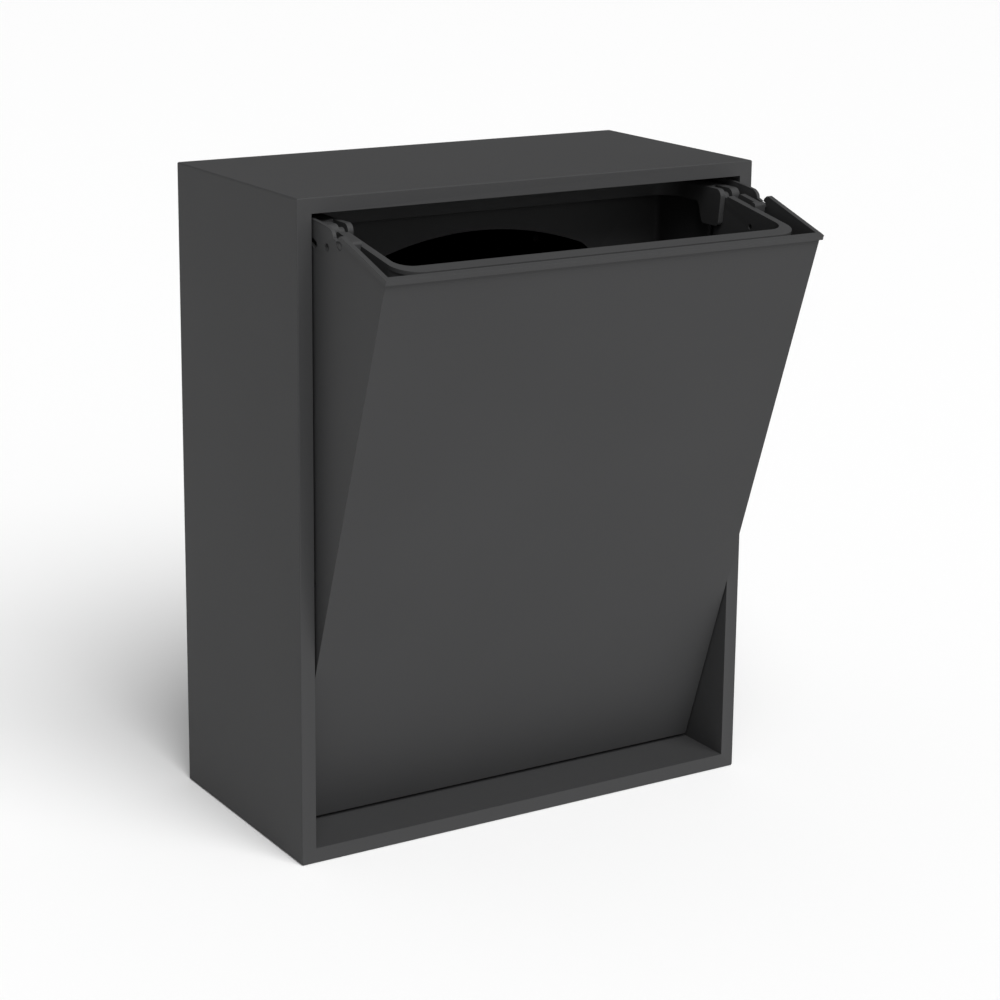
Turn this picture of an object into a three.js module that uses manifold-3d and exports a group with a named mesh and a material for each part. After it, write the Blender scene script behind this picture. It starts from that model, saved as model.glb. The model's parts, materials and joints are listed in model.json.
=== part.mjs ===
// Wall-hung waste box with a tilting front bin and a two-part bag frame.
// Millimetres, +Z up. The origin is the centre of the cabinet's bottom face, and the front faces -Y.
// The bin is drawn shut and then tilted out about its pivots, which is how the box rests.
import * as THREE from 'three';
import { mergeVertices } from 'three/addons/utils/BufferGeometryUtils.js';
import Module from 'manifold-3d';

const wasm = await Module();
wasm.setup();

// ---- driving dimensions ------------------------------------------------------------------------
const WIDTH = 325;
const HEIGHT = 410;
const DEPTH = 162;

const FIT_GAP = 0.3; // between two pieces that touch
const SWING_GAP = 1.2; // between the panel's foot and the cabinet's floor as it swings
const EAR_TOP_GAP = 2.6; // between the ears' arc and the cabinet's ceiling

const RIM_WIDTH = 9.5; // front frame of the cabinet, seen from the front
const SKIN = 3; // outer wall, front rim and the rim's inward return
const RETURN_DEPTH = 50; // how far the rim's return runs into the cabinet
const EDGE_ROUND = 0.8;
const CORNER_ROUND = 1.2;
const LINER_WALL = 2.5;
const LINER_FOOT = 10; // thick rear edge of the liner that takes the back plate's screws
const BACK_PLATE = 3;
const BACK_RECESS = 2; // the back plate sits this far inside the rear edges

const KEYHOLE_SPACING = 200;
const KEYHOLE_FROM_TOP = 58; // from the cabinet's top to the head's hole
const KEYHOLE_HEAD_R = 4.5;
const KEYHOLE_NECK_R = 2.4;
const KEYHOLE_DROP = 11;
const KEYHOLE_PLATE = { width: 34, height: 46, thick: 1.5, round: 4 };
const RIVET_R = 1.6;
const RIVET_HEAD_R = 2.6;
const RIVET_HEAD = 0.8;
const RIVET_INSET = 6; // from the keyhole plate's ends
const SCREW_R = 1.3;
const SCREW_HEAD_R = 2.6;
const SCREW_HEAD = 1.4;
const SCREW_DEPTH = 7;
const SCREWS_PER_SIDE = 3;
const SCREW_INSET = 35; // from the opening's top and bottom edges
const WALL_PAD_R = 9;
const WALL_PAD_RISE = 40; // above the cabinet's floor

const TILT = THREE.MathUtils.degToRad(18.8);
const PIVOT_DEPTH = 21; // behind the shut bin's front face
const PIVOT_HEIGHT = 130;
const PIVOT_PIN_R = 4;
const BOSS_WALL = 4.7; // plastic round a pin's hole in the cabinet's side
const BUSH_WALL = 2.6;
const PIN_HEAD = 2;
const STOP_RADIUS = 50; // from the pivot to the stop pin
const STOP_PIN_R = 3;
const STOP_HEAD_OUT = 2;
const BUSH_FLANGE = 1.6;
const BUSH_FLANGE_OUT = 3;

const BIN_WALL = 2.2;
const PANEL_THICK = 2.4;
const LIP_SIDE_GAP = 0.5; // from the lip's end to the cabinet's side
const LIP_OUT = 1.1; // how far the lip stands out beyond the bin's sides
const LIP_FRONT_OUT = 1.8; // how far it stands out beyond the front face
const LIP_TALL = 3.2;
const LIP_FALL = 1.2; // how much lower the side lips are at their rear ends
const LIP_SLANT = 2.2; // length of the slanted rear end
const LIP_ROUND = 2; // where the slant begins
const LIP_TOP_GAP = 3; // from the shut bin's lip to the cabinet's ceiling
const REAR_ROOM = 52; // cabinet depth left behind the shut bin
const BIN_BEND = 12; // outer radius between the bin's floor and back
const BIN_BACK_HEIGHT = 150;
const EAR_SETBACK = 6; // from the bin's back to the ear's rear edge
const EAR_TALL = 28; // the ear's rear edge
const EAR_RAMP = 12; // height of the slope from there down to the bin's back
const EAR_SLANT = 6; // its front edge leans back this far
const EAR_BULGE = 0.15; // how full that edge's curve is
const EAR_SLOT = { reach: 24.5, drop: 21, half: 2.4, round: 2 }; // open to the ear's rear edge
const EAR_HOLE = { ahead: 35.8, drop: 16, radius: 2.5 }; // ahead of the ear's rear edge, below the lip's top
const LIP_PAST_PIN = 2; // from the frame's snap pin to the lip's rear end
const NOTCH_WIDTH = 6.5; // from there to the ear
const NOTCH_DROP = 7.1; // from the lip's top to the wall between them
const SEAT_LENGTH = 7; // the snap pin slides forward into its seat from the notch

const FRAME_ARM = 4.8; // width of the bag frame's arms
const FRAME_BAR = 10; // width of its front bar
const FRAME_SIDE_ROOM = 9.5; // between an arm and the bin's side
const FRAME_FLANGE = 2.5;
const FRAME_SKIRT = 28;
const OUTER_SKIRT = 8.3;
const OUTER_SKIRT_SET_IN = 1.2; // from the front bar's edge
const OUTER_SKIRT_WALL = 2.5;
const FRAME_SLOPE = THREE.MathUtils.degToRad(8.7); // the front half dips to the rear in the shut bin
const FRAME_TOP = 3.3; // its top face above the frame hinge
const FRAME_FRONT_GAP = 0.8; // between the panel and the front bar
const HINGE_DROP = 15; // from the lip's top to the frame hinge
const HINGE_PIN_R = 2;
const HINGE_HEAD_R = 3.4;
const HINGE_HEAD = 1.2;
const CHEEK_ROUND = 6.8;
const CHEEK_INNER = 3.7;
const CHEEK_OUTER = 5.8;
const CHEEK_TOP = 6.3;
const CHEEK_DROP = 17.5;
const CHEEK_LEAN = 3; // its front edge's foot stands this far back
const CHEEK_LENGTH = 13.4;
const CHEEK_RAMP = 4.5; // from the cheek's foot up to the inner lip's lower edge
const CHEEK_TAIL = 14;
const CHEEK_FRONT_ROUND = 4.5;
const CHEEK_FOOT_ROUND = 3.5;
const CHEEK_SKIN = 1.2; // left over the hinge pin's end
const BRIDGE = 3.5; // wall that joins a fork's two cheeks
const REAR_LIP_DROP = 4.2; // lower edge of the rear half's inner lip, below the hinge
const REAR_BAR = 23;
const REAR_GAP = 2.7; // between the rear half and the back plate when the bin is shut
const REAR_SKIRT = 70;
const REAR_CORNER = 15;
const REAR_OUTER_CORNER = 6;
const ARCH_HALF_WIDTH = 85;
const ARCH_RISE = 17;
const ARCH_TOP_DROP = 20.5;
const ARCH_ROUND = 9; // at its two ends
const FRAME_CORNER = 16;
const MOUTH_CORNER = 11;
const ARM_END_R = 3.7;
const ARM_STEP = { back: 7.5, top: 1.5 }; // the arm's top steps down ahead of its round end
const ARM_DEEP = 22; // length of the arm's thick end, ahead of the hinge
const SKIRT_PAST_HINGE = 2;
const LUG = { from: -31, to: -10.5, bottom: -8, top: 5.8, round: 2 }; // a springy finger beside the arm
const LUG_ROOT = 4; // length that joins it to the arm, at its front end
const LUG_ROOT_ROUND = 1.5;
const LUG_SLIT = 1.3;
const LUG_WALL = 3.8;
const LUG_SKIN = 1.2; // left over the snap pin's end
const LUG_ROOT_GAP = 2.2; // from the root to the bin's side
const TIE_HOLE = { y: -34, z: -7.9, radius: 1.8 };
const LUG_PIN_R = 1.9;
const LUG_PIN = { y: -27.4, z: 2.7 };

// ---- places that follow from them --------------------------------------------------------------
const FRONT = -DEPTH / 2;
const REAR = DEPTH / 2;
const OPEN_X = WIDTH / 2 - RIM_WIDTH; // half the front opening
const OPEN_LOW = RIM_WIDTH;
const OPEN_HIGH = HEIGHT - RIM_WIDTH;
const CAVITY_X = WIDTH / 2 - SKIN;
const PLATE_BACK = REAR - BACK_RECESS;
const PLATE_FRONT = PLATE_BACK - BACK_PLATE;
const PIVOT_Y = FRONT + PIVOT_DEPTH;

const KEYHOLE_HEIGHT = HEIGHT - KEYHOLE_FROM_TOP;
const LIP_X = OPEN_X - LIP_SIDE_GAP;
const BIN_X = LIP_X - LIP_OUT;
const BIN_INNER_X = BIN_X - BIN_WALL;
const LIP_TOP = OPEN_HIGH - LIP_TOP_GAP;
// The panel's lower front corner passes under the pivot, so it stays clear of the cabinet's floor.
const PANEL_REACH = PIVOT_HEIGHT - OPEN_LOW - SWING_GAP;
const BIN_LOW = PIVOT_HEIGHT - Math.sqrt(PANEL_REACH ** 2 - PIVOT_DEPTH ** 2);
const EAR_R = OPEN_HIGH - PIVOT_HEIGHT - EAR_TOP_GAP;

const FRAME_OUTER_X = BIN_INNER_X - FRAME_SIDE_ROOM;
const FRAME_INNER_X = FRAME_OUTER_X - FRAME_ARM; // half the bag mouth's width
const HINGE_DEPTH = DEPTH / 2;
const HINGE_Y = FRONT + HINGE_DEPTH;
const HINGE_Z = LIP_TOP - HINGE_DROP;
const REAR_REACH = PLATE_FRONT - REAR_GAP - HINGE_Y;
const CHEEK_INNER_X = FRAME_INNER_X - FIT_GAP;
const CHEEK_OUTER_X = FRAME_OUTER_X + FIT_GAP;

const SAME_POINT = 1e-4;
const PAST = 1; // how far a cutting tool runs past the surface it cuts
const OVERLAP = 0.5; // how far two stretches of one moulding run into each other
const BEVEL_STEPS = 3;
const SEGMENTS = 5; // per rounded corner
const ARCH_SEGMENTS = 16;
// Facets of a round piece: fewer on a slim one.
const SLIM_R = 3.4;
const SLIM_FACETS = 14;
const FACETS = 24;

// ---- materials ---------------------------------------------------------------------------------
function paint(color, roughness, metalness) {
  return new THREE.MeshStandardMaterial({ color, roughness, metalness });
}

const shellPlastic = paint(0x434447, 0.62, 0);
const binPlastic = paint(0x424346, 0.6, 0);
const framePlastic = paint(0x3b3c3f, 0.58, 0);
const steel = paint(0x9a9b9d, 0.35, 1);
const rubber = paint(0x1b1b1c, 0.9, 0);
const bushPlastic = paint(0x2a2a2b, 0.5, 0);

// ---- solids ------------------------------------------------------------------------------------
function solid(geometry) {
  const bare = geometry.clone();
  bare.deleteAttribute('normal');
  bare.deleteAttribute('uv');
  const merged = mergeVertices(bare, SAME_POINT);
  const vertProperties = new Float32Array(merged.attributes.position.array);
  const triVerts = new Uint32Array(merged.index.array);
  return new wasm.Manifold(new wasm.Mesh({ numProp: 3, vertProperties, triVerts }));
}

function join(...solids) {
  return solids.reduce((whole, piece) => whole.add(piece));
}

function cut(body, ...tools) {
  return tools.reduce((left, tool) => left.subtract(tool), body);
}

function geometryOf(body) {
  const mesh = body.getMesh();
  const geometry = new THREE.BufferGeometry();
  geometry.setAttribute('position', new THREE.BufferAttribute(new Float32Array(mesh.vertProperties), 3));
  geometry.setIndex(new THREE.BufferAttribute(new Uint32Array(mesh.triVerts), 1));
  const flat = geometry.toNonIndexed();
  flat.computeVertexNormals();
  return flat;
}

function block(x0, x1, y0, y1, z0, z1) {
  const geometry = new THREE.BoxGeometry(x1 - x0, y1 - y0, z1 - z0);
  geometry.translate((x0 + x1) / 2, (y0 + y1) / 2, (z0 + z1) / 2);
  return solid(geometry);
}

// A block with its middle on the centre plane.
function wideBlock(halfWidth, y0, y1, z0, z1) {
  return block(-halfWidth, halfWidth, y0, y1, z0, z1);
}

const AXIS_X = new THREE.Vector3(1, 0, 0);
const AXIS_Y = new THREE.Vector3(0, 1, 0);
const AXIS_Z = new THREE.Vector3(0, 0, 1);

function extrude(shape, depth, options = {}) {
  return new THREE.ExtrudeGeometry(shape, {
    depth, bevelEnabled: false, curveSegments: SEGMENTS, steps: 1, ...options,
  });
}

// A side profile drawn in (y, z), from x0 to x1.
function acrossX(shape, x0, x1) {
  const geometry = extrude(shape, x1 - x0);
  geometry.applyMatrix4(new THREE.Matrix4().makeBasis(AXIS_Y, AXIS_Z, AXIS_X));
  geometry.translate(x0, 0, 0);
  return solid(geometry);
}

// A front profile drawn in (x, z), from y0 to y1.
function acrossY(shape, y0, y1, options = {}) {
  const geometry = extrude(shape, y1 - y0, options);
  geometry.applyMatrix4(new THREE.Matrix4().makeBasis(AXIS_X, AXIS_Z, AXIS_Y.clone().negate()));
  geometry.translate(0, y1, 0);
  return solid(geometry);
}

// A plan drawn in (x, y), from z0 to z1.
function acrossZ(shape, z0, z1) {
  const geometry = extrude(shape, z1 - z0);
  geometry.translate(0, 0, z0);
  return solid(geometry);
}

// An outline of corners [a, b, radius], each rounded by its radius.
function outline(corners) {
  const shape = new THREE.Shape();
  const points = corners.map(([a, b]) => new THREE.Vector2(a, b));
  corners.forEach(([, , radius = 0], index) => {
    const here = points[index];
    const before = points[(index + corners.length - 1) % corners.length];
    const after = points[(index + 1) % corners.length];
    const inward = before.clone().sub(here).normalize();
    const onward = after.clone().sub(here).normalize();
    const halfAngle = Math.acos(THREE.MathUtils.clamp(inward.dot(onward), -1, 1)) / 2;
    const reach = radius / Math.tan(halfAngle);
    const start = here.clone().addScaledVector(inward, reach);
    if (index === 0) shape.moveTo(start.x, start.y);
    else shape.lineTo(start.x, start.y);
    if (radius > 0) {
      const middle = inward.clone().add(onward).normalize();
      const centre = here.clone().addScaledVector(middle, radius / Math.sin(halfAngle));
      const end = here.clone().addScaledVector(onward, reach);
      const from = start.clone().sub(centre).angle();
      const to = end.clone().sub(centre).angle();
      const clockwise = inward.x * onward.y - inward.y * onward.x > 0;
      shape.absarc(centre.x, centre.y, radius, from, to, clockwise);
    }
  });
  shape.closePath();
  return shape;
}

function roundedRectangle(a0, a1, b0, b1, radius) {
  return outline([[a0, b0, radius], [a1, b0, radius], [a1, b1, radius], [a0, b1, radius]]);
}

function bar(radius, length) {
  const facets = radius <= SLIM_R ? SLIM_FACETS : FACETS;
  return new THREE.CylinderGeometry(radius, radius, length, facets);
}

// A bar of round section along X, at (y, z).
function rod(radius, x0, x1, y, z) {
  const low = Math.min(x0, x1);
  const high = Math.max(x0, x1);
  const geometry = bar(radius, high - low);
  geometry.rotateZ(Math.PI / 2);
  geometry.translate((low + high) / 2, y, z);
  return solid(geometry);
}

// A bar of round section along Y, at (x, z).
function studAlongY(radius, y0, y1, x, z) {
  const geometry = bar(radius, y1 - y0);
  geometry.translate(x, (y0 + y1) / 2, z);
  return solid(geometry);
}

function mirrored(body, side) {
  if (side > 0) return body;
  return body.mirror([1, 0, 0]);
}

function addMesh(group, name, body, material) {
  const mesh = new THREE.Mesh(geometryOf(body), material);
  mesh.name = name;
  group.add(mesh);
}

const SIDES = [['left', -1], ['right', 1]];

// ---- cabinet -----------------------------------------------------------------------------------
const STOP_Z = PIVOT_HEIGHT + STOP_RADIUS;
const PIVOT_BOSS_R = PIVOT_PIN_R + FIT_GAP + BOSS_WALL;
const STOP_BOSS_R = STOP_PIN_R + FIT_GAP + BOSS_WALL;

function outerShell() {
  const profile = roundedRectangle(-WIDTH / 2, WIDTH / 2, 0, HEIGHT, CORNER_ROUND);
  // The bevels reach EDGE_ROUND beyond the extrusion at the front and at the rear.
  const outside = acrossY(profile, FRONT + EDGE_ROUND, REAR - EDGE_ROUND, {
    bevelEnabled: true, bevelThickness: EDGE_ROUND, bevelSize: EDGE_ROUND,
    bevelOffset: -EDGE_ROUND, bevelSegments: BEVEL_STEPS,
  });
  const hollow = wideBlock(CAVITY_X, FRONT + SKIN, REAR + PAST, SKIN, HEIGHT - SKIN);
  const returnBox = wideBlock(
    OPEN_X + SKIN, FRONT, FRONT + RETURN_DEPTH, OPEN_LOW - SKIN, OPEN_HIGH + SKIN);
  let tool = hollow.subtract(returnBox);
  for (const [, side] of SIDES) {
    tool = cut(tool,
      rod(PIVOT_BOSS_R, side * OPEN_X, side * CAVITY_X, PIVOT_Y, PIVOT_HEIGHT),
      rod(STOP_BOSS_R, side * OPEN_X, side * CAVITY_X, PIVOT_Y, STOP_Z));
  }
  let shell = cut(outside, tool, wideBlock(OPEN_X, FRONT - PAST, REAR, OPEN_LOW, OPEN_HIGH));
  for (const [, side] of SIDES) {
    shell = cut(shell,
      rod(PIVOT_PIN_R + FIT_GAP, side * (OPEN_X - PAST), side * CAVITY_X, PIVOT_Y, PIVOT_HEIGHT),
      rod(STOP_PIN_R + FIT_GAP, side * (OPEN_X - PAST), side * CAVITY_X, PIVOT_Y, STOP_Z));
  }
  return shell;
}

const FOOT_OUT_X = CAVITY_X - FIT_GAP;
const SCREW_X = (OPEN_X + FOOT_OUT_X) / 2;

function screwHeights() {
  const low = OPEN_LOW + SCREW_INSET;
  const high = OPEN_HIGH - SCREW_INSET;
  return Array.from({ length: SCREWS_PER_SIDE }, (_, i) => low + (high - low) * i / (SCREWS_PER_SIDE - 1));
}

function innerLiner() {
  const y0 = FRONT + RETURN_DEPTH + FIT_GAP;
  const y1 = PLATE_FRONT - FIT_GAP;
  const sleeve = wideBlock(OPEN_X + LINER_WALL, y0, y1, OPEN_LOW - LINER_WALL, OPEN_HIGH + LINER_WALL);
  const foot = wideBlock(FOOT_OUT_X, y1 - LINER_FOOT, y1, SKIN + FIT_GAP, HEIGHT - SKIN - FIT_GAP);
  let liner = cut(join(sleeve, foot), wideBlock(OPEN_X, y0 - PAST, y1 + PAST, OPEN_LOW, OPEN_HIGH));
  for (const [, side] of SIDES) {
    for (const z of screwHeights()) {
      liner = liner.subtract(
        studAlongY(SCREW_R + FIT_GAP, y1 - SCREW_DEPTH - PAST, y1 + PAST, side * SCREW_X, z));
    }
  }
  return liner;
}

// A keyhole: a round hole for a screw's head above a narrow slot that the neck drops into.
function keyholeTool(x, y0, y1) {
  const neckTop = KEYHOLE_HEIGHT + KEYHOLE_DROP;
  return join(
    studAlongY(KEYHOLE_HEAD_R, y0, y1, x, KEYHOLE_HEIGHT),
    studAlongY(KEYHOLE_NECK_R, y0, y1, x, neckTop),
    block(x - KEYHOLE_NECK_R, x + KEYHOLE_NECK_R, y0, y1, KEYHOLE_HEIGHT, neckTop));
}

const KEYHOLE_MIDDLE = KEYHOLE_HEIGHT + KEYHOLE_DROP / 2;
const RIVET_OFFSET = KEYHOLE_PLATE.height / 2 - RIVET_INSET;

function rivetHeights() {
  return [KEYHOLE_MIDDLE - RIVET_OFFSET, KEYHOLE_MIDDLE + RIVET_OFFSET];
}

function backPlate() {
  let plate = wideBlock(
    FOOT_OUT_X, PLATE_FRONT, PLATE_BACK, SKIN + FIT_GAP, HEIGHT - SKIN - FIT_GAP);
  for (const [, side] of SIDES) {
    const x = side * KEYHOLE_SPACING / 2;
    plate = plate.subtract(keyholeTool(x, PLATE_FRONT - PAST, PLATE_BACK + PAST));
    for (const z of screwHeights()) {
      plate = plate.subtract(
        studAlongY(SCREW_R + FIT_GAP, PLATE_FRONT - PAST, PLATE_BACK + PAST, side * SCREW_X, z));
    }
    for (const z of rivetHeights()) {
      plate = plate.subtract(
        studAlongY(RIVET_R + FIT_GAP, PLATE_FRONT - PAST, PLATE_BACK + PAST, x, z));
    }
  }
  return plate;
}

function keyholePlate(x) {
  const y0 = PLATE_BACK + FIT_GAP;
  const y1 = y0 + KEYHOLE_PLATE.thick;
  const half = KEYHOLE_PLATE.width / 2;
  const profile = roundedRectangle(
    x - half, x + half,
    KEYHOLE_MIDDLE - KEYHOLE_PLATE.height / 2, KEYHOLE_MIDDLE + KEYHOLE_PLATE.height / 2,
    KEYHOLE_PLATE.round);
  const holes = rivetHeights().map(
    (z) => studAlongY(RIVET_R + FIT_GAP, y0 - PAST, y1 + PAST, x, z));
  return cut(acrossY(profile, y0, y1), keyholeTool(x, y0 - PAST, y1 + PAST), ...holes);
}

// The rivet's wide head is inside the cabinet, and its plain end is flush with the steel plate.
function rivet(x, z) {
  const inside = PLATE_FRONT - FIT_GAP;
  return join(
    studAlongY(RIVET_HEAD_R, inside - RIVET_HEAD, inside, x, z),
    studAlongY(RIVET_R, inside - RIVET_HEAD / 2, PLATE_BACK + FIT_GAP + KEYHOLE_PLATE.thick, x, z));
}

function backScrew(x, z) {
  const seat = PLATE_BACK + FIT_GAP;
  return join(
    studAlongY(SCREW_HEAD_R, seat, seat + SCREW_HEAD, x, z),
    studAlongY(SCREW_R, PLATE_FRONT - SCREW_DEPTH, seat + SCREW_HEAD / 2, x, z));
}

function wallPad(x) {
  return studAlongY(WALL_PAD_R, PLATE_BACK + FIT_GAP, REAR, x, OPEN_LOW + WALL_PAD_RISE);
}

const PIN_END_X = CAVITY_X - FIT_GAP;

function pivotPin() {
  const headX = BIN_INNER_X - BUSH_FLANGE - FIT_GAP;
  return join(
    rod(PIVOT_PIN_R, headX - PIN_HEAD / 2, PIN_END_X, PIVOT_Y, PIVOT_HEIGHT),
    rod(PIVOT_PIN_R + BUSH_WALL, headX - PIN_HEAD, headX, PIVOT_Y, PIVOT_HEIGHT));
}

function stopPin() {
  const headX = BIN_INNER_X - FIT_GAP;
  return join(
    rod(STOP_PIN_R, headX - PIN_HEAD / 2, PIN_END_X, PIVOT_Y, STOP_Z),
    rod(STOP_PIN_R + STOP_HEAD_OUT, headX - PIN_HEAD, headX, PIVOT_Y, STOP_Z));
}

// ---- tilting bin, drawn shut -------------------------------------------------------------------
const BUSH_R = PIVOT_PIN_R + FIT_GAP + BUSH_WALL;
const LIP_LOW = LIP_TOP - LIP_TALL;
const LIP_END_LOW = LIP_LOW - LIP_FALL;
const NOTCH_FLOOR = LIP_TOP - NOTCH_DROP;
const [SNAP_Y, SNAP_Z] = fromFrame(LUG_PIN.y, LUG_PIN.z);
const LIP_END = SNAP_Y + LIP_PAST_PIN;
const EAR_FRONT = LIP_END + NOTCH_WIDTH;
const BIN_REAR = REAR - REAR_ROOM;
const EAR_END = BIN_REAR - EAR_SETBACK;

// Height of the ear's arc, which has its centre on the pivot.
function earTop(y) {
  return PIVOT_HEIGHT + Math.sqrt(EAR_R ** 2 - (y - PIVOT_Y) ** 2);
}

function sideProfile() {
  const shape = new THREE.Shape();
  const front = FRONT + PANEL_THICK / 2;
  shape.moveTo(front, BIN_LOW);
  shape.lineTo(BIN_REAR - BIN_BEND, BIN_LOW);
  shape.absarc(BIN_REAR - BIN_BEND, BIN_LOW + BIN_BEND, BIN_BEND, -Math.PI / 2, 0, false);
  shape.lineTo(BIN_REAR, earTop(EAR_END) - EAR_TALL - EAR_RAMP);
  shape.lineTo(EAR_END, earTop(EAR_END) - EAR_TALL);
  shape.lineTo(EAR_END, earTop(EAR_END));
  const arcEnd = EAR_FRONT + EAR_SLANT;
  const from = Math.atan2(earTop(EAR_END) - PIVOT_HEIGHT, EAR_END - PIVOT_Y);
  const to = Math.atan2(earTop(arcEnd) - PIVOT_HEIGHT, arcEnd - PIVOT_Y);
  shape.absarc(PIVOT_Y, PIVOT_HEIGHT, EAR_R, from, to, false);
  shape.quadraticCurveTo(
    EAR_FRONT + EAR_BULGE * EAR_SLANT, earTop(arcEnd) - EAR_BULGE, EAR_FRONT, NOTCH_FLOOR);
  shape.lineTo(LIP_END, NOTCH_FLOOR);
  shape.lineTo(LIP_END, LIP_END_LOW);
  shape.lineTo(front, LIP_LOW + LIP_TALL / 2);
  shape.closePath();
  return shape;
}

// The stop pin stays where it is while the bin turns, so its slot is an arc round the pivot.
function stopSlot() {
  const shape = new THREE.Shape();
  const half = STOP_PIN_R + FIT_GAP;
  const shut = Math.PI / 2;
  const open = Math.PI / 2 - TILT;
  const at = (angle) => [
    PIVOT_Y + STOP_RADIUS * Math.cos(angle), PIVOT_HEIGHT + STOP_RADIUS * Math.sin(angle)];
  shape.absarc(PIVOT_Y, PIVOT_HEIGHT, STOP_RADIUS + half, open, shut, false);
  shape.absarc(...at(shut), half, shut, shut + Math.PI, false);
  shape.absarc(PIVOT_Y, PIVOT_HEIGHT, STOP_RADIUS - half, shut, open, true);
  shape.absarc(...at(open), half, open + Math.PI, open + 2 * Math.PI, false);
  return shape;
}

// Where a point of the bag frame's own sloping frame lies in the shut bin.
function fromFrame(y, z) {
  const cos = Math.cos(FRAME_SLOPE);
  const sin = Math.sin(FRAME_SLOPE);
  return [HINGE_Y + y * cos + z * sin, HINGE_Z - y * sin + z * cos];
}

// The right-hand wall with its share of the lip. The snap pin's seat is open to the notch.
function binSide() {
  const x0 = BIN_INNER_X - PAST;
  const x1 = LIP_X + PAST;
  const front = FRONT + PANEL_THICK / 2;
  const panelBack = FRONT + PANEL_THICK;
  const snap = LUG_PIN_R + FIT_GAP;
  const seatFront = SNAP_Y - snap;
  const wall = acrossX(sideProfile(), BIN_INNER_X, BIN_X);
  const lip = acrossX(outline([
    [front, LIP_LOW], [panelBack, LIP_LOW], [LIP_END, LIP_END_LOW],
    [LIP_END - LIP_SLANT, LIP_TOP - LIP_FALL, LIP_ROUND], [panelBack, LIP_TOP], [front, LIP_TOP],
  ]), BIN_INNER_X, LIP_X);
  const slotZ = LIP_TOP - EAR_SLOT.drop;
  const slot = acrossX(roundedRectangle(
    EAR_END - EAR_SLOT.reach, EAR_END + EAR_SLOT.reach, slotZ - EAR_SLOT.half, slotZ + EAR_SLOT.half,
    EAR_SLOT.round), x0, x1);
  return cut(join(wall, lip), slot,
    rod(BUSH_R + FIT_GAP, x0, x1, PIVOT_Y, PIVOT_HEIGHT),
    acrossX(stopSlot(), x0, x1),
    acrossX(roundedRectangle(
      seatFront, seatFront + SEAT_LENGTH, SNAP_Z - snap, SNAP_Z + snap, snap - SAME_POINT), x0, x1),
    rod(EAR_HOLE.radius, x0, x1, EAR_END - EAR_HOLE.ahead, LIP_TOP - EAR_HOLE.drop));
}

function tiltBin() {
  const wide = BIN_X - OVERLAP;
  const panel = wideBlock(BIN_X, FRONT, FRONT + PANEL_THICK, BIN_LOW, LIP_TOP);
  const lip = wideBlock(LIP_X, FRONT - LIP_FRONT_OUT, FRONT + PANEL_THICK, LIP_LOW, LIP_TOP);
  const floor = wideBlock(
    wide, FRONT + PANEL_THICK / 2, BIN_REAR - BIN_BEND, BIN_LOW, BIN_LOW + BIN_WALL);
  const backCurve = new THREE.Shape();
  const bend = [BIN_REAR - BIN_BEND, BIN_LOW + BIN_BEND];
  backCurve.absarc(...bend, BIN_BEND, -Math.PI / 2, 0, false);
  backCurve.lineTo(BIN_REAR, BIN_LOW + BIN_BACK_HEIGHT);
  backCurve.lineTo(BIN_REAR - BIN_WALL, BIN_LOW + BIN_BACK_HEIGHT);
  backCurve.absarc(...bend, BIN_BEND - BIN_WALL, 0, -Math.PI / 2, true);
  return join(
    panel, lip, floor, acrossX(backCurve, -wide, wide), binSide(), mirrored(binSide(), -1));
}

function pivotBush() {
  const flangeX = BIN_INNER_X - FIT_GAP;
  const body = join(
    rod(BUSH_R, flangeX - BUSH_FLANGE / 2, BIN_X + FIT_GAP, PIVOT_Y, PIVOT_HEIGHT),
    rod(BUSH_R + BUSH_FLANGE_OUT, flangeX - BUSH_FLANGE + FIT_GAP, flangeX, PIVOT_Y, PIVOT_HEIGHT));
  return body.subtract(rod(
    PIVOT_PIN_R + FIT_GAP, flangeX - BUSH_FLANGE - PAST, BIN_X + PAST, PIVOT_Y, PIVOT_HEIGHT));
}

// ---- bag frame, front half: drawn level about its own hinge ------------------------------------
const FRAME_FRONT = (FRAME_FRONT_GAP + PANEL_THICK - HINGE_DEPTH) / Math.cos(FRAME_SLOPE);
const LUG_OUTER_X = FRAME_OUTER_X + LUG_SLIT + LUG_WALL;
const PIN_SEAT_X = FRAME_OUTER_X + LUG_SLIT + LUG_SKIN;

function framePlan(halfWidth, front, radius, rear) {
  return outline([[-halfWidth, rear], [-halfWidth, front, radius], [halfWidth, front, radius],
    [halfWidth, rear]]);
}

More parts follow.
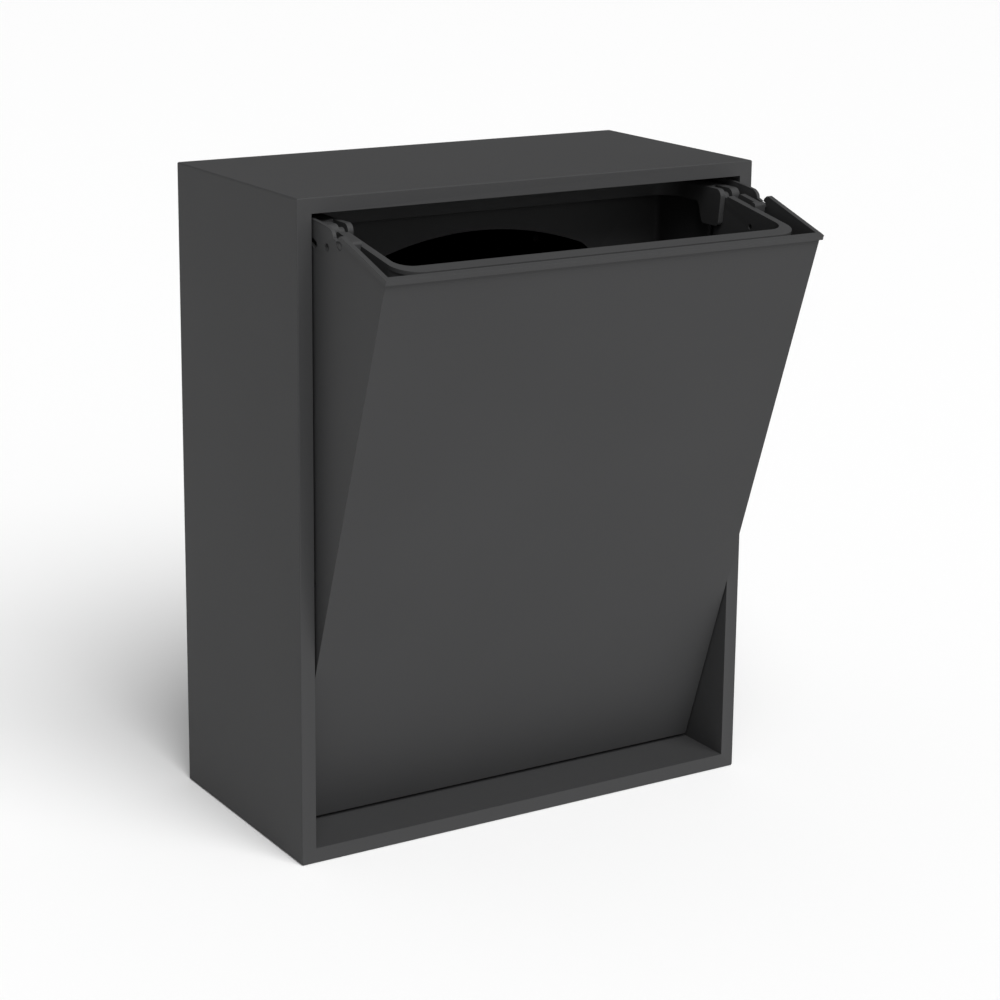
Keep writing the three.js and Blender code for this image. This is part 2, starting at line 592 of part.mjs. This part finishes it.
function frontFrame() {
  const innerFront = FRAME_FRONT + FRAME_BAR;
  const outer = framePlan(FRAME_OUTER_X, FRAME_FRONT, FRAME_CORNER, -ARM_STEP.back);
  const mouth = framePlan(FRAME_INNER_X, innerFront, MOUTH_CORNER, ARM_END_R + PAST);
  const skirtPlan = framePlan(
    FRAME_INNER_X + FRAME_FLANGE, innerFront - FRAME_FLANGE, MOUTH_CORNER + FRAME_FLANGE,
    SKIRT_PAST_HINGE);
  const edgeFront = FRAME_FRONT + OUTER_SKIRT_SET_IN;
  const edge = framePlan(FRAME_OUTER_X, edgeFront, FRAME_CORNER, -ARM_DEEP);
  const insideEdge = framePlan(
    FRAME_OUTER_X - OUTER_SKIRT_WALL, edgeFront + OUTER_SKIRT_WALL,
    FRAME_CORNER - OUTER_SKIRT_WALL, PAST - ARM_DEEP);
  let frame = join(
    acrossZ(outer, FRAME_TOP - FRAME_FLANGE, FRAME_TOP),
    cut(
      acrossZ(edge, FRAME_TOP - OUTER_SKIRT, FRAME_TOP - FRAME_FLANGE / 2),
      acrossZ(insideEdge, FRAME_TOP - OUTER_SKIRT - PAST, FRAME_TOP - FRAME_FLANGE)),
    acrossZ(skirtPlan, FRAME_TOP - FRAME_SKIRT, FRAME_TOP - FRAME_FLANGE / 2));
  const lugProfile = roundedRectangle(LUG.from, LUG.to, LUG.bottom, LUG.top, LUG.round);
  const rootEnd = LUG.from + LUG_ROOT;
  const finger = cut(
    acrossX(lugProfile, FRAME_OUTER_X - OVERLAP, LUG_OUTER_X),
    block(FRAME_OUTER_X - PAST, FRAME_OUTER_X + LUG_SLIT, rootEnd, LUG.to + PAST,
      LUG.bottom - PAST, LUG.top + PAST));
  const root = acrossX(
    roundedRectangle(LUG.from, rootEnd, LUG.bottom, LUG.top, LUG_ROOT_ROUND),
    LUG_OUTER_X - OVERLAP, BIN_INNER_X - LUG_ROOT_GAP);
  const lug = join(finger, root);
  const armIn = FRAME_INNER_X - OVERLAP;
  const armEnd = join(
    block(armIn, FRAME_OUTER_X, -ARM_DEEP, -ARM_STEP.back, -ARM_END_R, FRAME_TOP),
    block(armIn, FRAME_OUTER_X, -ARM_DEEP, 0, -ARM_END_R, ARM_STEP.top),
    rod(ARM_END_R, armIn, FRAME_OUTER_X, 0, 0));
  for (const [, side] of SIDES) {
    frame = join(frame, mirrored(armEnd, side), mirrored(lug, side));
  }
  frame = frame.subtract(acrossZ(mouth, -FRAME_SKIRT - PAST, FRAME_TOP + PAST));
  const holes = join(
    rod(HINGE_PIN_R + FIT_GAP, FRAME_INNER_X - PAST, FRAME_OUTER_X + PAST, 0, 0),
    rod(LUG_PIN_R + FIT_GAP, PIN_SEAT_X, BIN_X, LUG_PIN.y, LUG_PIN.z),
    rod(TIE_HOLE.radius, FRAME_INNER_X - PAST, FRAME_INNER_X + FRAME_FLANGE + PAST, TIE_HOLE.y,
      TIE_HOLE.z));
  return cut(frame, holes, mirrored(holes, -1));
}

function lugPin() {
  return rod(LUG_PIN_R, PIN_SEAT_X + FIT_GAP, BIN_X, LUG_PIN.y, LUG_PIN.z);
}

// ---- bag frame, rear half: drawn level about the same hinge ------------------------------------
function cheekProfile() {
  const rampEnd = CHEEK_LENGTH + CHEEK_RAMP;
  const tail = rampEnd + CHEEK_TAIL;
  return outline([
    [-CHEEK_ROUND, CHEEK_TOP, CHEEK_FRONT_ROUND],
    [CHEEK_LEAN - CHEEK_ROUND, -CHEEK_DROP, CHEEK_FOOT_ROUND],
    [CHEEK_LENGTH, -CHEEK_DROP, CHEEK_FOOT_ROUND], [rampEnd, -REAR_LIP_DROP, CHEEK_FOOT_ROUND],
    [tail, -REAR_LIP_DROP], [tail, CHEEK_TOP]]);
}

function rearPlan(halfWidth, back, radius, front) {
  return outline([[-halfWidth, front], [halfWidth, front], [halfWidth, back, radius],
    [-halfWidth, back, radius]]);
}

// A window in the rear wall, open at the foot, with a shallow arch over it.
function archWindow() {
  const spring = -ARCH_TOP_DROP - ARCH_RISE;
  const radius = (ARCH_HALF_WIDTH ** 2 + ARCH_RISE ** 2) / (2 * ARCH_RISE);
  const arcX = ARCH_HALF_WIDTH - ARCH_ROUND;
  const half = Math.asin(arcX / radius);
  const centre = -ARCH_TOP_DROP - radius;
  const arcEnd = centre + radius * Math.cos(half);
  const foot = -REAR_SKIRT - PAST;
  const shape = new THREE.Shape();
  shape.moveTo(-ARCH_HALF_WIDTH, foot);
  shape.lineTo(ARCH_HALF_WIDTH, foot);
  shape.lineTo(ARCH_HALF_WIDTH, spring - ARCH_ROUND);
  shape.quadraticCurveTo(ARCH_HALF_WIDTH, spring, arcX, arcEnd);
  shape.absarc(0, centre, radius, Math.PI / 2 - half, Math.PI / 2 + half, false);
  shape.quadraticCurveTo(-ARCH_HALF_WIDTH, spring, -ARCH_HALF_WIDTH, spring - ARCH_ROUND);
  shape.closePath();
  return acrossY(
    shape, REAR_REACH - FRAME_FLANGE - PAST, REAR_REACH + PAST, { curveSegments: ARCH_SEGMENTS });
}

function rearFrame() {
  const wall = FRAME_FLANGE;
  const front = CHEEK_LENGTH - PAST;
  const lipX = CHEEK_INNER_X - CHEEK_INNER;
  const lipBack = REAR_REACH - REAR_BAR;
  const outer = (inset, y) => rearPlan(
    FRAME_OUTER_X - inset, REAR_REACH - inset, REAR_OUTER_CORNER - inset, y);
  const flange = acrossZ(outer(0, front), CHEEK_TOP - wall, CHEEK_TOP);
  const skirt = cut(
    acrossZ(outer(0, front + wall), -REAR_SKIRT, CHEEK_TOP - wall / 2),
    acrossZ(outer(wall, front - wall), -REAR_SKIRT - PAST, CHEEK_TOP - wall));
  const innerLip = acrossZ(
    rearPlan(lipX + wall, lipBack + wall, REAR_CORNER + wall, front),
    -REAR_LIP_DROP, CHEEK_TOP - wall / 2);
  const mouth = acrossZ(
    rearPlan(lipX, lipBack, REAR_CORNER, -lipBack), -REAR_SKIRT - PAST, CHEEK_TOP + PAST);
  const outerFace = CHEEK_OUTER_X + CHEEK_OUTER;
  const fork = join(
    acrossX(cheekProfile(), lipX, CHEEK_INNER_X),
    acrossX(cheekProfile(), CHEEK_OUTER_X, outerFace),
    block(CHEEK_INNER_X - PAST, CHEEK_OUTER_X + PAST, CHEEK_LENGTH - BRIDGE / 2,
      CHEEK_LENGTH + BRIDGE / 2, -REAR_LIP_DROP, CHEEK_TOP));
  const pinHole = rod(HINGE_PIN_R + FIT_GAP, lipX + CHEEK_SKIN, outerFace + PAST, 0, 0);
  return cut(
    join(cut(join(flange, skirt, innerLip), mouth, archWindow()), fork, mirrored(fork, -1)),
    pinHole, mirrored(pinHole, -1));
}

function hingePin() {
  const outer = CHEEK_OUTER_X + CHEEK_OUTER + FIT_GAP;
  return join(
    rod(HINGE_PIN_R, CHEEK_INNER_X - CHEEK_INNER + CHEEK_SKIN + FIT_GAP, outer + HINGE_HEAD / 2, 0, 0),
    rod(HINGE_HEAD_R, outer, outer + HINGE_HEAD, 0, 0));
}

// ---- assembly ----------------------------------------------------------------------------------
const box = new THREE.Group();

addMesh(box, 'outer_shell', outerShell(), shellPlastic);
addMesh(box, 'inner_liner', innerLiner(), shellPlastic);
addMesh(box, 'back_plate', backPlate(), shellPlastic);
for (const [name, side] of SIDES) {
  const keyX = side * KEYHOLE_SPACING / 2;
  addMesh(box, `keyhole_plate_${name}`, keyholePlate(keyX), steel);
  rivetHeights().forEach((z, i) => addMesh(box, `rivet_${name}_${i + 1}`, rivet(keyX, z), steel));
  screwHeights().forEach((z, i) => {
    addMesh(box, `back_screw_${name}_${i + 1}`, backScrew(side * SCREW_X, z), steel);
  });
  addMesh(box, `wall_pad_${name}`, wallPad(keyX), rubber);
  addMesh(box, `pivot_pin_${name}`, mirrored(pivotPin(), side), steel);
  addMesh(box, `stop_pin_${name}`, mirrored(stopPin(), side), steel);
}

// The bin turns about its pivots: everything in it is drawn shut and moved to the pivot first.
const tilt = new THREE.Group();
tilt.position.set(0, PIVOT_Y, PIVOT_HEIGHT);
tilt.rotation.x = TILT;
const shutBin = new THREE.Group();
shutBin.position.set(0, -PIVOT_Y, -PIVOT_HEIGHT);
tilt.add(shutBin);
box.add(tilt);
addMesh(shutBin, 'tilt_bin', tiltBin(), binPlastic);
for (const [name, side] of SIDES) {
  addMesh(shutBin, `pivot_bush_${name}`, mirrored(pivotBush(), side), bushPlastic);
}

const frontHalf = new THREE.Group();
frontHalf.position.set(0, HINGE_Y, HINGE_Z);
frontHalf.rotation.x = -FRAME_SLOPE;
shutBin.add(frontHalf);
addMesh(frontHalf, 'bag_frame_front', frontFrame(), framePlastic);
for (const [name, side] of SIDES) {
  addMesh(frontHalf, `frame_pin_${name}`, mirrored(lugPin(), side), steel);
}

// The rear half turns back by the tilt, so it stays level.
const rearHalf = new THREE.Group();
rearHalf.position.set(0, HINGE_Y, HINGE_Z);
rearHalf.rotation.x = -TILT;
shutBin.add(rearHalf);
addMesh(rearHalf, 'bag_frame_rear', rearFrame(), framePlastic);
for (const [name, side] of SIDES) {
  addMesh(rearHalf, `hinge_pin_${name}`, mirrored(hingePin(), side), steel);
}

export default box;
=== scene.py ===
"""A flat wall-hung waste box, shown open: anthracite plastic with rounded edges and a fine grain."""

import json
import math

import bmesh
import bpy
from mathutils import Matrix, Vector


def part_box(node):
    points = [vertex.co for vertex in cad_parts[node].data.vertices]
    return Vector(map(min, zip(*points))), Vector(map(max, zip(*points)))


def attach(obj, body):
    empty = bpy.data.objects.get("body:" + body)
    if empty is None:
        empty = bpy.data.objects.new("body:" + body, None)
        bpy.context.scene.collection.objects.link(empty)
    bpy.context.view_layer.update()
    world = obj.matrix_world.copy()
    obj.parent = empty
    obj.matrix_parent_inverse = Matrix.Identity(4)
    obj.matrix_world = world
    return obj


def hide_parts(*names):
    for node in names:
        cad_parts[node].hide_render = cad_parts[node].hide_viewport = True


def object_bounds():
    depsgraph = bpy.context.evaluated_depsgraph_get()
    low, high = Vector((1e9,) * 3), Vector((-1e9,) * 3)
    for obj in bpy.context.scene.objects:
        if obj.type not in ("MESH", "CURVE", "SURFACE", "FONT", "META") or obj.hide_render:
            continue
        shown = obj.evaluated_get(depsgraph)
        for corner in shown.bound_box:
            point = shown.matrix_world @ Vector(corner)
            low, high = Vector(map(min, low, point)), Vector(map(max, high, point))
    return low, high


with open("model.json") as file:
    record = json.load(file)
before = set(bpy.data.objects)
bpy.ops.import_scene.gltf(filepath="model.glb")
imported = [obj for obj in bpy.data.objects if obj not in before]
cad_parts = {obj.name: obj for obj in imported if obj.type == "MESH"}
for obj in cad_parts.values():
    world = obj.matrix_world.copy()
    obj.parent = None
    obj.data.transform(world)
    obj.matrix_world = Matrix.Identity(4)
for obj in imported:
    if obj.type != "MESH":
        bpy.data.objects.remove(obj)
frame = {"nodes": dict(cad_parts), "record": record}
CAD_LOW, CAD_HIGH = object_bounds()
MM = 0.001

# ---- camera, floor and light -------------------------------------------------------------------
SENSOR_MM = 36
FOCAL_MM = 91.7
LENS_SHIFT = -0.1
SIGHT_RANGE = 100
CAMERA_AT = Vector((-0.8214, -1.3641, 0.6437))
CAMERA_TURN = (1.3316, -0.0100, -0.5533)

FLOOR_WIDTH = 60
FLOOR_GAP = 0.2 * MM
FLOOR_COLOUR = (0.9, 0.9, 0.9, 1)
FLOOR_ROUGHNESS = 0.9

WORLD_COLOUR = (1, 1, 1, 1)
WORLD_STRENGTH = 0.26
# Each light's name, the direction it shines from, its spread in degrees and its strength.
SKY_PANELS = (
    ("key", (-0.05, -0.6, 0.8), 46, 3.0),
    ("fill", (0.12, -0.95, 0.28), 70, 1.05),
)


def make_camera():
    data = bpy.data.cameras.new("camera")
    data.sensor_width = SENSOR_MM
    data.lens = FOCAL_MM
    data.shift_y = LENS_SHIFT
    data.clip_end = SIGHT_RANGE
    camera = bpy.data.objects.new("camera", data)
    camera.location = CAMERA_AT
    camera.rotation_euler = CAMERA_TURN
    bpy.context.scene.collection.objects.link(camera)
    bpy.context.scene.camera = camera


def make_floor():
    """A pale floor, just below the object."""
    bpy.ops.mesh.primitive_plane_add(size=FLOOR_WIDTH, location=(0, 0, CAD_LOW.z - FLOOR_GAP))
    floor = bpy.context.object
    floor.name = "floor"
    material = bpy.data.materials.new("pale_floor")
    material.use_nodes = True
    shader = material.node_tree.nodes["Principled BSDF"]
    shader.inputs["Base Color"].default_value = FLOOR_COLOUR
    shader.inputs["Roughness"].default_value = FLOOR_ROUGHNESS
    floor.data.materials.append(material)


def make_world():
    world = bpy.data.worlds.new("studio")
    world.use_nodes = True
    background = world.node_tree.nodes["Background"]
    background.inputs["Color"].default_value = WORLD_COLOUR
    background.inputs["Strength"].default_value = WORLD_STRENGTH
    bpy.context.scene.world = world


def make_sky_panel(name, direction, spread, strength):
    """A very wide soft light, far off in the given direction."""
    data = bpy.data.lights.new(name, "SUN")
    data.angle = math.radians(spread)
    data.energy = strength
    light = bpy.data.objects.new(name, data)
    light.rotation_euler = Vector(direction).to_track_quat("Z", "Y").to_euler()
    bpy.context.scene.collection.objects.link(light)


# ---- materials ---------------------------------------------------------------------------------
# A Mix node's colour sockets share their names with its other sockets, so they go by index.
MIX_FACTOR = 0
MIX_ONE = 6
MIX_OTHER = 7
MIX_RESULT = 2
# Noise seldom strays further than this from its middle value.
NOISE_LOW = 0.3
NOISE_HIGH = 0.7

GRAIN_DETAIL = 3.0
GRAIN_BUMP = 0.5
GRAIN_SMOOTHER = 0.05
GRAIN_ROUGHER = 0.06
CLOUD_SCALE = 9.0
CLOUD_LOW = 0.35
CLOUD_HIGH = 0.65
CLOUD_DARK = 0.98
CLOUD_LIGHT = 1.02
# The pointiness at which the painted edge highlight starts, and at which it is at its palest.
HIGHLIGHT_START = 0.52
HIGHLIGHT_END = 0.62
# How far the painted edge highlight goes at most, and how its colour is raised over the plastic's own.
HIGHLIGHT_MOST = 0.35
HIGHLIGHT_GAIN = 1.35
HIGHLIGHT_LIFT = 0.004
PLASTIC_SPECULAR = 0.15
ANTHRACITE = (0.0400, 0.0402, 0.0410)
BUSH_BLACK = (0.02, 0.02, 0.02)
# Each plastic's colour, roughness, grain scale and grain depth.
PLASTICS = {
    "cabinet_plastic": (ANTHRACITE, 0.56, 2300.0, 0.08 * MM),
    "bin_plastic": (ANTHRACITE, 0.54, 2300.0, 0.08 * MM),
    "frame_plastic": (ANTHRACITE, 0.5, 3000.0, 0.05 * MM),
    "bush_plastic": (BUSH_BLACK, 0.4, 3200.0, 0.02 * MM),
}

STEEL_DARK = (0.42, 0.42, 0.43)
STEEL_PALE = (0.60, 0.60, 0.61)
STEEL_MOTTLE_SCALE = 420.0
STEEL_MOTTLE_DETAIL = 3.0
STEEL_SMOOTHEST = 0.26
STEEL_ROUGHEST = 0.44

RUBBER_DARK = (0.012, 0.012, 0.012)
RUBBER_PALE = (0.028, 0.028, 0.028)
RUBBER_GRAIN_SCALE = 2600.0
RUBBER_GRAIN_DEPTH = 0.1 * MM
RUBBER_BUMP = 0.4
RUBBER_SMOOTHEST = 0.78
RUBBER_ROUGHEST = 0.92


class Nodes:
    """A short way to add shader nodes to one material and to join them."""

    def __init__(self, name):
        self.material = bpy.data.materials.new(name)
        self.material.use_nodes = True
        self.tree = self.material.node_tree
        self.shader = self.tree.nodes["Principled BSDF"]
        self.place = self.tree.nodes.new("ShaderNodeTexCoord").outputs["Object"]

    def feed(self, socket, value):
        """Gives a socket a fixed value, or joins another node's output to it."""
        if isinstance(value, bpy.types.NodeSocket):
            self.tree.links.new(value, socket)
        else:
            socket.default_value = value

    def add(self, kind, inputs=None, **settings):
        node = self.tree.nodes.new(kind)
        for key, value in settings.items():
            setattr(node, key, value)
        for key, value in (inputs or {}).items():
            self.feed(node.inputs[key], value)
        return node

    def noise(self, scale, detail=2.0):
        node = self.add(
            "ShaderNodeTexNoise",
            {"Vector": self.place, "Scale": scale, "Detail": detail, "Roughness": 0.5})
        return node.outputs["Fac"]

    def ramp(self, value, low, high, start, end):
        """Goes evenly from low to high while the value goes from start to end."""
        node = self.add("ShaderNodeMapRange", {
            "Value": value, "From Min": start, "From Max": end, "To Min": low, "To Max": high})
        return node.outputs["Result"]

    def mix(self, factor, one, other):
        """Mixes two colours, each a fixed one or another node's output."""
        node = self.add("ShaderNodeMix", {MIX_FACTOR: factor}, data_type="RGBA")
        for index, colour in ((MIX_ONE, one), (MIX_OTHER, other)):
            self.feed(node.inputs[index], (*colour, 1) if isinstance(colour, tuple) else colour)
        return node.outputs[MIX_RESULT]

    def drive(self, socket, value):
        self.feed(self.shader.inputs[socket], value)

    def vary_roughness(self, noise, smoothest, roughest):
        self.drive("Roughness", self.ramp(noise, smoothest, roughest, NOISE_LOW, NOISE_HIGH))

    def emboss(self, height, strength, depth):
        bump = self.add("ShaderNodeBump", {"Height": height, "Strength": strength, "Distance": depth})
        self.drive("Normal", bump.outputs["Normal"])


def moulded_plastic(name, colour, roughness, grain_scale, grain_depth):
    """Moulded plastic: a fine etched grain, very faint flow clouds, and a painted highlight that makes
    sharp edges slightly paler.
    """
    nodes = Nodes(name)
    grain = nodes.noise(grain_scale, GRAIN_DETAIL)
    clouds = nodes.noise(CLOUD_SCALE)
    shade = nodes.ramp(clouds, 0.0, 1.0, CLOUD_LOW, CLOUD_HIGH)
    dark = tuple(CLOUD_DARK * channel for channel in colour)
    light = tuple(CLOUD_LIGHT * channel for channel in colour)
    body = nodes.mix(shade, dark, light)
    # Painted highlight: the base colour turns paler where the pointiness is high, along sharp edges.
    pointiness = nodes.add("ShaderNodeNewGeometry").outputs["Pointiness"]
    edge = nodes.ramp(pointiness, 0.0, HIGHLIGHT_MOST, HIGHLIGHT_START, HIGHLIGHT_END)
    pale = tuple(HIGHLIGHT_GAIN * channel + HIGHLIGHT_LIFT for channel in colour)
    nodes.drive("Base Color", nodes.mix(edge, body, pale))
    nodes.vary_roughness(grain, roughness - GRAIN_SMOOTHER, roughness + GRAIN_ROUGHER)
    nodes.emboss(grain, GRAIN_BUMP, grain_depth)
    nodes.drive("Specular IOR Level", PLASTIC_SPECULAR)
    return nodes.material


def plated_steel(name):
    """Plated steel, slightly mottled."""
    nodes = Nodes(name)
    mottle = nodes.noise(STEEL_MOTTLE_SCALE, STEEL_MOTTLE_DETAIL)
    nodes.drive("Base Color", nodes.mix(mottle, STEEL_DARK, STEEL_PALE))
    nodes.vary_roughness(mottle, STEEL_SMOOTHEST, STEEL_ROUGHEST)
    nodes.drive("Metallic", 1)
    return nodes.material


def matte_rubber(name):
    """Black rubber with a fine grain."""
    nodes = Nodes(name)
    grain = nodes.noise(RUBBER_GRAIN_SCALE)
    nodes.drive("Base Color", nodes.mix(grain, RUBBER_DARK, RUBBER_PALE))
    nodes.vary_roughness(grain, RUBBER_SMOOTHEST, RUBBER_ROUGHEST)
    nodes.emboss(grain, RUBBER_BUMP, RUBBER_GRAIN_DEPTH)
    return nodes.material


MATERIALS = {name: moulded_plastic(name, *look) for name, look in PLASTICS.items()}
MATERIALS["steel"] = plated_steel("steel")
MATERIALS["rubber"] = matte_rubber("rubber")


# ---- pieces ------------------------------------------------------------------------------------
SLOT_OF = {row["node"]: row["material_slot"] for row in frame["record"]["subparts"]}
BODY_OF = {
    node: body for body, members in frame["record"]["behaviour"]["bodies"].items() for node in members}
SAME_PLACE = 0.002 * MM
FLAT_ANGLE = math.radians(1)
EDGE_ANGLE = math.radians(32)
# The edge radius of each large piece, and of every other node but the back screws.
ROUNDING = {
    "outer_shell": 0.35 * MM,
    "inner_liner": 0.4 * MM,
    "back_plate": 0.4 * MM,
    "tilt_bin": 0.45 * MM,
    "bag_frame_front": 0.45 * MM,
    "bag_frame_rear": 0.45 * MM,
}
HARDWARE_ROUND = 0.2 * MM

SCREW_SHANK_R = 1.3 * MM
SCREW_HEAD_R = 2.6 * MM
SCREW_HEAD_TALL = 1.4 * MM
# The outline of the head: millimetres outward from its rim, and above its seat.
HEAD_PROFILE = ((0.0, 0.0), (0.0, 0.7), (-0.15, 1.05), (-0.5, 1.28), (-1.0, 1.38))
SOCKET_R = 1.3 * MM
SOCKET_DEPTH = 0.8 * MM
SCREW_FACETS = 36
SCREW_ROUND = 0.08 * MM
SCREW_ROUND_STEPS = 2
SIXTH_TURN = math.pi / 3


def merged_copy(node):
    """The CAD node's shape as one welded mesh with whole flat faces."""
    mesh = bmesh.new()
    mesh.from_mesh(frame["nodes"][node].data)
    bmesh.ops.remove_doubles(mesh, verts=mesh.verts, dist=SAME_PLACE)
    bmesh.ops.dissolve_limit(
        mesh, angle_limit=FLAT_ANGLE, verts=mesh.verts, edges=mesh.edges, use_dissolve_boundaries=False)
    return mesh


def finished_piece(name, mesh, slot, body, nodes):
    """Makes a piece of the mesh, with its material and its body, and hides the nodes that it replaces.
    """
    data = bpy.data.meshes.new(name)
    mesh.normal_update()
    mesh.to_mesh(data)
    mesh.free()
    piece = bpy.data.objects.new(name, data)
    bpy.context.scene.collection.objects.link(piece)
    data.materials.append(MATERIALS[slot])
    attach(piece, body)
    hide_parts(*nodes)
    return piece


def soften(piece, radius, segments=3):
    """Rounds the sharp edges, and keeps the flat faces flat in the shading."""
    bevel = piece.modifiers.new("round", "BEVEL")
    bevel.width = radius
    bevel.segments = segments
    bevel.limit_method = "ANGLE"
    bevel.angle_limit = EDGE_ANGLE
    bevel.use_clamp_overlap = True
    bevel.miter_outer = "MITER_ARC"
    for polygon in piece.data.polygons:
        polygon.use_smooth = True
    weighted = piece.modifiers.new("shade", "WEIGHTED_NORMAL")
    weighted.keep_sharp = True


def rounded_node(node, radius):
    """The CAD node's own shape, with its sharp edges rounded."""
    piece = finished_piece(
        node + "_moulding", merged_copy(node), SLOT_OF[node], BODY_OF[node], [node])
    soften(piece, radius)


def ring(mesh, radius, centre, y, hexagonal=False):
    """A closed loop of corners round a centre, in a plane across Y: round or six-sided."""
    loop = []
    for step in range(SCREW_FACETS):
        angle = 2 * math.pi * step / SCREW_FACETS
        reach = radius
        if hexagonal:
            reach *= math.cos(SIXTH_TURN / 2) / math.cos(angle % SIXTH_TURN - SIXTH_TURN / 2)
        loop.append(mesh.verts.new((
            centre.x + reach * math.cos(angle), y, centre.z + reach * math.sin(angle))))
    return loop


def turned_screw(node):
    """A back screw: a low domed head with a hexagon socket, on a plain shank, along +Y."""
    low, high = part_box(node)
    centre = (low + high) / 2
    seat = high.y - SCREW_HEAD_TALL
    mesh = bmesh.new()
    loops = [ring(mesh, SCREW_SHANK_R, centre, low.y), ring(mesh, SCREW_SHANK_R, centre, seat)]
    for outward, rise in HEAD_PROFILE:
        loops.append(ring(mesh, SCREW_HEAD_R + outward * MM, centre, seat + rise * MM))
    loops.append(ring(mesh, SOCKET_R, centre, high.y, hexagonal=True))
    loops.append(ring(mesh, SOCKET_R, centre, high.y - SOCKET_DEPTH, hexagonal=True))
    for one, other in zip(loops, loops[1:]):
        for step in range(SCREW_FACETS):
            after = (step + 1) % SCREW_FACETS
            mesh.faces.new((one[step], one[after], other[after], other[step]))
    mesh.faces.new(loops[0])
    mesh.faces.new(loops[-1])
    bmesh.ops.recalc_face_normals(mesh, faces=mesh.faces)
    piece = finished_piece(node + "_turned", mesh, SLOT_OF[node], BODY_OF[node], [node])
    soften(piece, SCREW_ROUND, SCREW_ROUND_STEPS)


# ---- the scene ---------------------------------------------------------------------------------
make_camera()
make_floor()
make_world()
for panel in SKY_PANELS:
    make_sky_panel(*panel)
bpy.context.scene.view_settings.view_transform = "Standard"

for node_name in list(frame["nodes"]):
    if node_name.startswith("back_screw"):
        turned_screw(node_name)
    else:
        rounded_node(node_name, ROUNDING.get(node_name, HARDWARE_ROUND))
